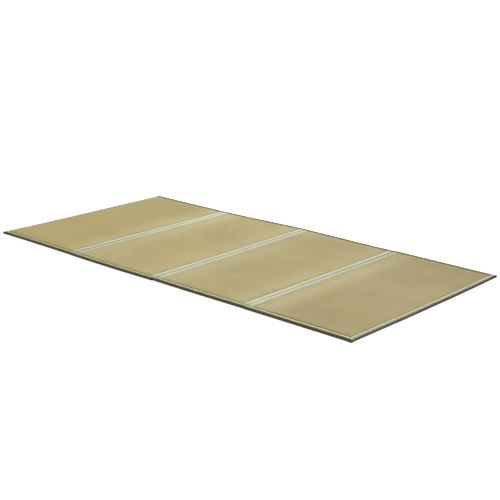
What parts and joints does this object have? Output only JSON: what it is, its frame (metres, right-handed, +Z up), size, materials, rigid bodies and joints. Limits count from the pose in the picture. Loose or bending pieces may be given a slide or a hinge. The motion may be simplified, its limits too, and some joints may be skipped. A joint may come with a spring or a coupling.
{
  "type": "tatami mat",
  "caption": "Long flat folding floor mat of rush-faced pads, bound in cloth along the edges and joined by cloth strips at the folds, to sit or sleep on.",
  "frame": {"origin": "middle of the underside of the mat's bounding box, on the floor it lies on", "axes": "+X along the mat's length, +Y across it from the near long edge to the far one, +Z up"},
  "size_m": [2.1183, 1.0046, 0.0179],
  "materials": {
    "rush": "matt woven rush with a faint sheen",
    "olive_cloth": "matt plain-woven cotton tape, khaki olive",
    "mint_cloth": "matt plain-woven cotton tape, pale sage"
  },
  "bodies": {
    "root": {"rush_pad_1": "rush", "near_binding_1": "olive_cloth", "far_binding_1": "olive_cloth", "rush_pad_2": "rush", "near_binding_2": "olive_cloth", "far_binding_2": "olive_cloth", "rush_pad_3": "rush", "near_binding_3": "olive_cloth", "far_binding_3": "olive_cloth", "rush_pad_4": "rush", "near_binding_4": "olive_cloth", "far_binding_4": "olive_cloth", "left_end_binding": "mint_cloth", "right_end_binding": "mint_cloth", "fold_strip_1": "mint_cloth", "fold_strip_2": "mint_cloth", "fold_strip_3": "mint_cloth"}
  },
  "joints": []
}
